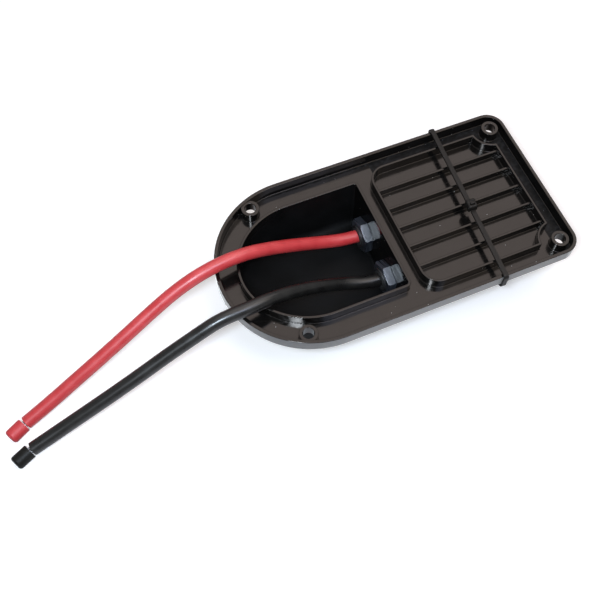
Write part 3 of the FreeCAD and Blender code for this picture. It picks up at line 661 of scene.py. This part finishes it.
def onRecessFloor(face):
    s = plateSettings
    return looksUp(face) and abs(face.center.z - s["floor"] * mm) < s["floorNear"] * mm


def splitFloor(plate):
    # Cuts the recess floor along the edges of the ribbed field, so that the strips beside
    # the field get a finish of their own, the dull one that paints their shade.
    s = plateSettings
    cuts = (((s["fieldLeft"], 0, 0), (1, 0, 0)), ((s["fieldRight"], 0, 0), (1, 0, 0)),
            ((0, s["fieldTop"], 0), (0, 1, 0)), ((0, s["rimFoot"], 0), (0, 1, 0)))
    for place, across in cuts:
        pickFaces(plate, onRecessFloor)
        bpy.ops.mesh.bisect(plane_co=tuple(v * mm for v in place), plane_no=across)
        bpy.ops.object.mode_set(mode="OBJECT")


def texturePlate(plate):
    # The pocket, the hood and the plate's underside are matt, which in the pocket is painted
    # shade; the inner face of the end wall is gloss, the outer side has a painted sheen, and
    # the strips beside the ribbed field are dull with painted shade.
    s = plateSettings
    upright, slant = meshSettings["uprightNormal"], meshSettings["slantNormal"]
    low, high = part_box("entry_plate")
    halfWidth = (high[1] - low[1]) / 2
    archCentre = low[0] + halfWidth
    inside = halfWidth - s["wallMargin"] * mm
    edge = halfWidth - s["edgeBand"] * mm
    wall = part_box("red_nut")[1][0]
    index = {}
    for name, material in (("matt", mattAndPocketShade), ("wall", wallPlastic),
                           ("paintedSheenOuterSide", paintedSheenSide), ("strip", stripPaintedShade)):
        index[name] = len(plate.data.materials)
        plate.data.materials.append(material)
    bpy.context.view_layer.update()
    for face in plate.data.polygons:
        x, y, z = face.center
        onWall = abs(x - wall) < s["wallNear"] * mm and abs(face.normal.x) > upright
        nearEdge = (abs(y) > edge or x > high[0] - s["edgeBand"] * mm
                    or (x < archCentre and math.hypot(x - archCentre, y) > edge))
        beside = (x > s["fieldRight"] * mm or y > s["rimFoot"] * mm
                  or (y > s["fieldTop"] * mm and x > s["fieldLeft"] * mm))
        outward = (face.normal.z < -slant
                   or face.normal.x * (x - s["pocketCentre"] * mm) + face.normal.y * y > 0)
        if onRecessFloor(face) and beside:
            # Strips beside the field: dull finish, painted shade.
            face.material_index = index["strip"]
        elif onWall and abs(y) < inside:
            face.material_index = index["wall"]
        elif z < (s["underMatt"] if outward else s["pocketMatt"]) * mm:
            # Pocket, hood and underside: matt, with painted shade in the pocket.
            face.material_index = index["matt"]
        elif nearEdge and abs(face.normal.z) < slant:
            start = face.center + face.normal * s["rayStart"] * mm
            if not plate.ray_cast(start, face.normal)[0]:
                # Outer side: painted sheen.
                face.material_index = index["paintedSheenOuterSide"]


plateShell = finishedCopy("entry_plate", "plateShell", plateSettings["edge"] * mm,
                          plateSettings["edgeSteps"], plateSettings["edgeAngle"],
                          prepare=splitFloor)
finish(plateShell, platePlastic)
texturePlate(plateShell)

# Each fitting: CAD name, piece name, edge radius, segments, edge angle, material, slot
fittings = (
    ("_nut", "LockNut", 0.14, 2, 20, nutPlastic, "nut_plastic"),
    ("_connector", "Housing", 0.2, 2, 35, connectorPlastic, "connector_plastic"),
    ("_seal_ring", "SealRing", 0.3, 3, 40, rubber, "seal_rubber"),
    ("_bush", "GlandBush", 0.4, 3, 40, rubber, "seal_rubber"),
    ("_contact", "Contact", 0.1, 2, 40, tin, "contact_metal"),
)
for colour in ("red", "black"):
    for node, piece, edge, segments, angle, material, slot in fittings:
        finish(finishedCopy(colour + node, colour + piece, edge * mm, segments, angle),
               material)
finish(finishedCopy("black_packing", "packingRing", edge=0.5 * mm, segments=3, angle=40),
       rubber)
print("housings finished")


# Cable tie: the strap as built, with a framed head round its slot

tieSettings = {
    "headWidth": 4.9,
    "headLength": 5.2,
    "headHeight": 3.9,
    "headOffset": 4.0,
    "slotInset": 0.95 / 3,
    "slotDepth": 0.35,
    "skew": 3.8,
    "clear": 0.2,
    "corner": 1.0,
    "cornerSteps": 4,
    "edge": 0.12,
    "strapEdge": 0.18,
}


def makeTieHead():
    s = tieSettings
    low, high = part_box("cable_tie")
    centreX = (low[0] + high[0]) / 2
    bpy.ops.object.select_all(action="DESELECT")
    bpy.ops.mesh.primitive_cube_add(size=1 * mm, location=(0, 0, s["headHeight"] / 2 * mm))
    head = bpy.context.object
    head.name = "tieHead"
    head.data.name = "tieHead"
    head.scale = (s["headWidth"], s["headLength"], s["headHeight"])
    settle(head)
    applyModifier(head, "BEVEL", "CornerRound", width=s["corner"] * mm,
                  segments=s["cornerSteps"], limit_method="ANGLE")
    pickFaces(head, looksUp)
    bpy.ops.mesh.inset(thickness=s["slotInset"] * mm)
    bpy.ops.mesh.extrude_region_move(
        TRANSFORM_OT_translate={"value": (0, 0, -s["slotDepth"] * mm)})
    bpy.ops.mesh.select_all(action="SELECT")
    bpy.ops.mesh.normals_make_consistent(inside=False)
    bpy.ops.object.mode_set(mode="OBJECT")
    softenEdges(head, s["edge"] * mm, segments=2, angle=40)
    turn = math.radians(-s["skew"])
    offset = Vector((0, -s["headOffset"] * mm, 0))
    offset.rotate(Euler((0, 0, turn)))
    head.rotation_euler = (0, 0, turn)
    head.location = (centreX + offset.x, offset.y, s["clear"] * mm)
    settle(head)
    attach(head, "root")
    finish(head, tieNylon)


finish(finishedCopy("cable_tie", "tieStrap", tieSettings["strapEdge"] * mm, segments=2,
                    angle=35), tieNylon)
makeTieHead()
print("tie ready")


# Floor, world and lamps

stageSettings = {
    "floorSize": 6.0,
    "floorColor": (0.79, 0.765, 0.745),
    "floorDrop": 0.02 * mm,
    "liftNear": 0.36,
    "liftFar": 1.0,
    "liftStart": 0.15,
    "liftEnd": 1.0,
    "skyForCamera": 1.0,
    "skyForGloss": 0.3,
    "skyForLight": 0.12,
    "lamps": {
        "ceiling": {"place": (0.23, 0.38, 0.84), "aim": (0.0, 0.0, 0.0), "size": 1.0,
                    "power": 3.9, "color": (1.0, 0.90, 0.88)},
        "window": {"place": (-0.32, -0.17, 0.30), "aim": (-0.10, -0.015, 0.0),
                   "size": 0.16, "power": 0.13, "color": (0.86, 0.93, 1.0)},
        "flash": {"place": (-0.160, -0.168, 0.352), "aim": (-0.04, 0.0, -0.01),
                  "size": 0.055, "power": 1.35, "color": (0.74, 0.87, 1.0)},
        "fill": {"place": (0.12, -0.10, 0.40), "aim": (0.0, 0.0, 0.0), "size": 0.3,
                 "power": 0.5, "color": (1.0, 0.88, 0.76)},
        "front": {"place": (0.07, -0.234, 0.526), "aim": (0.0, 0.0, -0.014), "size": 0.2,
                  "power": 0.72, "color": (0.58, 0.7, 1.0)},
    },
}


def makeFloor():
    s = stageSettings
    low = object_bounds()[0]
    bpy.ops.object.select_all(action="DESELECT")
    bpy.ops.mesh.primitive_plane_add(size=s["floorSize"],
                                     location=(0, 0, low[2] - s["floorDrop"]))
    floor = bpy.context.object
    floor.name = "paleFloor"
    material, tree, shader = newMaterial("floorPale", s["floorColor"], 0.6,
                                         Specular_IOR_Level=0.1,
                                         Emission_Color=(1, 1, 1, 1))
    # The floor is lifted for the camera only, and more far from the part, where the lamps
    # no longer reach.
    lightPath = addNode(tree, "ShaderNodeLightPath")
    place = addNode(tree, "ShaderNodeTexCoord")
    away = addNode(tree, "ShaderNodeVectorMath", operation="LENGTH")
    tree.links.new(place.outputs["Object"], away.inputs[0])
    strength = remap(tree, away.outputs["Value"], s["liftNear"], s["liftFar"],
                     start=s["liftStart"], end=s["liftEnd"])
    lift = calculate(tree, "MULTIPLY", lightPath.outputs["Is Camera Ray"], strength)
    tree.links.new(lift, shader.inputs["Emission Strength"])
    floor.data.materials.append(material)


def makeWorld():
    # White behind the part, and dim above it in reflections, where the lamps are what shines.
    world = bpy.data.worlds.new("studioSky")
    bpy.context.scene.world = world
    world.use_nodes = True
    tree = world.node_tree
    background = tree.nodes["Background"]
    background.inputs["Color"].default_value = (1, 1, 1, 1)
    lightPath = addNode(tree, "ShaderNodeLightPath")
    seen = calculate(tree, "MAXIMUM", lightPath.outputs["Is Camera Ray"],
                     lightPath.outputs["Is Transmission Ray"])
    base = remap(tree, lightPath.outputs["Is Glossy Ray"], stageSettings["skyForLight"],
                 stageSettings["skyForGloss"], start=0.0, end=1.0)
    white = calculate(tree, "MULTIPLY", seen, stageSettings["skyForCamera"])
    strength = calculate(tree, "MAXIMUM", base, white)
    tree.links.new(strength, background.inputs["Strength"])


def makeLamp(name, settings):
    data = bpy.data.lights.new(name, "AREA")
    data.size = settings["size"]
    data.energy = settings["power"]
    data.color = settings["color"]
    lamp = bpy.data.objects.new(name, data)
    lamp.visible_camera = False
    bpy.context.scene.collection.objects.link(lamp)
    lamp.location = settings["place"]
    aim = Vector(settings["aim"]) - lamp.location
    lamp.rotation_euler = aim.to_track_quat("-Z", "Y").to_euler()


makeFloor()
makeWorld()
for lampName, lampSettings in stageSettings["lamps"].items():
    makeLamp(lampName, lampSettings)
bpy.context.scene.view_settings.view_transform = "Standard"
print("stage ready")

bpy.context.view_layer.update()
